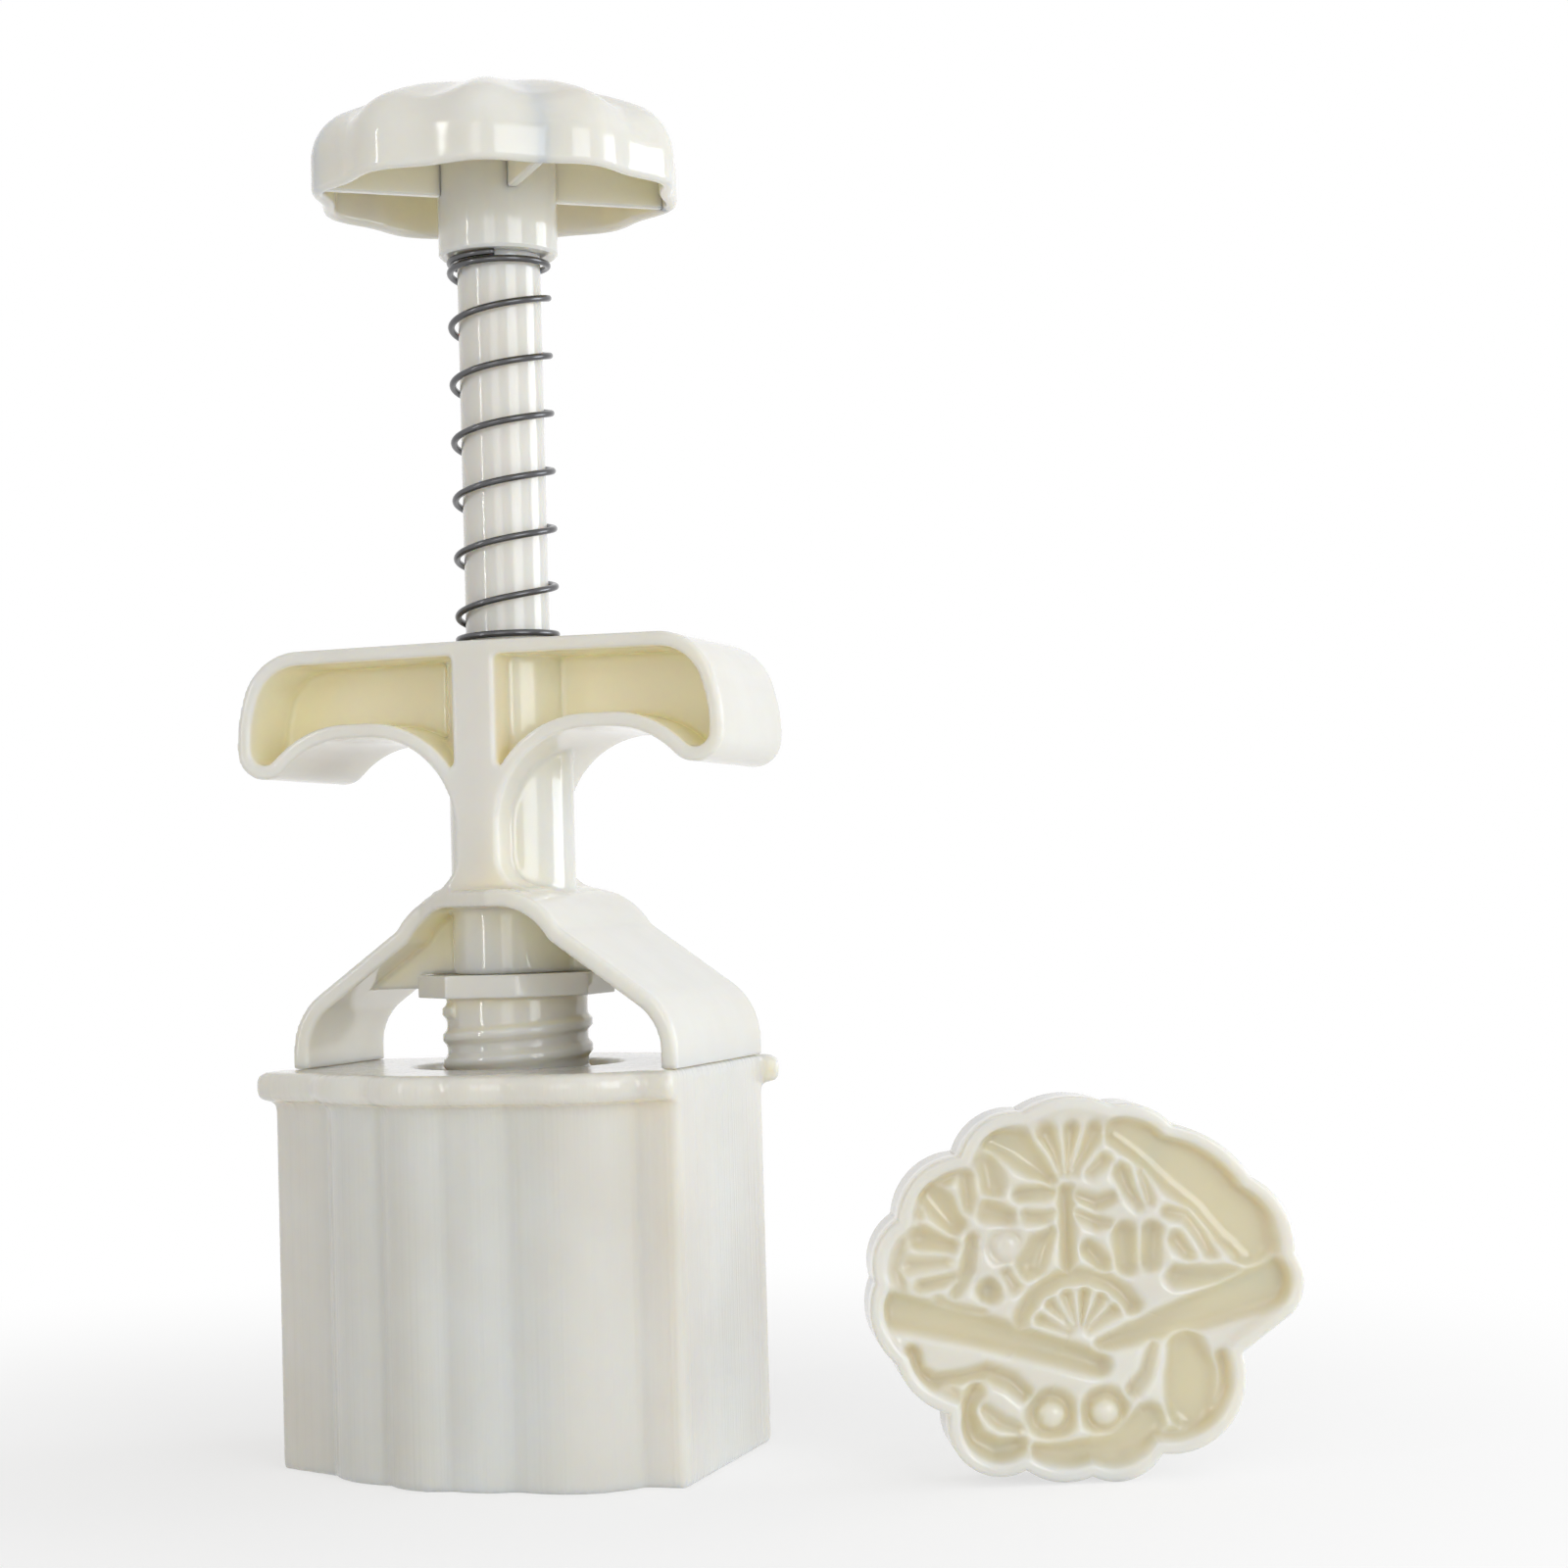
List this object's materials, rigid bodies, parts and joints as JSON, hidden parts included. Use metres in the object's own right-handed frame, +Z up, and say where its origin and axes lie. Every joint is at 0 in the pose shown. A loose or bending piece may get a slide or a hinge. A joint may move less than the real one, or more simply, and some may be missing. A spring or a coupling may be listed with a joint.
{
  "type": "mooncake press",
  "caption": "Spring-return hand press: a knobbed plunger slides through a T-handle and arch into a fan-shaped barrel, with its screw-on stamp beside it.",
  "frame": {"origin": "middle of the barrel's mouth rim, on the plunger's axis", "axes": "+Z up the plunger towards the knob, -Y the front, +X the side on which the loose stamp stands"},
  "size_m": [0.1375, 0.0562, 0.1832],
  "materials": {
    "ivory_plastic": "gloss",
    "spring_steel": "bright",
    "screw_steel": "satin"
  },
  "bodies": {
    "frame": {"mould_barrel": "ivory_plastic", "handle_yoke": "ivory_plastic"},
    "spring": {"return_spring": "spring_steel"},
    "plunger": {"plunger_rod": "ivory_plastic", "knob": "ivory_plastic", "knob_cap": "ivory_plastic", "knob_screw": "screw_steel", "stamp_holder": "ivory_plastic", "holder_washer": "screw_steel", "holder_screw": "screw_steel"},
    "stamp": {"pattern_stamp": "ivory_plastic"}
  },
  "joints": [
    {"name": "plunger_turn", "type": "hinge", "parent": "frame", "child": "spring", "pos_m": [0, 0, 0.1], "axis": [0, 0, 1], "continuous": true},
    {"name": "plunger_slide", "type": "slide", "parent": "spring", "child": "plunger", "axis": [0, 0, -1], "range_m": [0, 0.042], "stiffness_N_per_m": 420, "springref_m": -0.01, "deforming": ["return_spring"]},
    {"name": "stamp_lift", "type": "slide", "parent": "frame", "child": "stamp", "axis": [0, 0, 1], "range_m": [0, 0.06]}
  ]
}
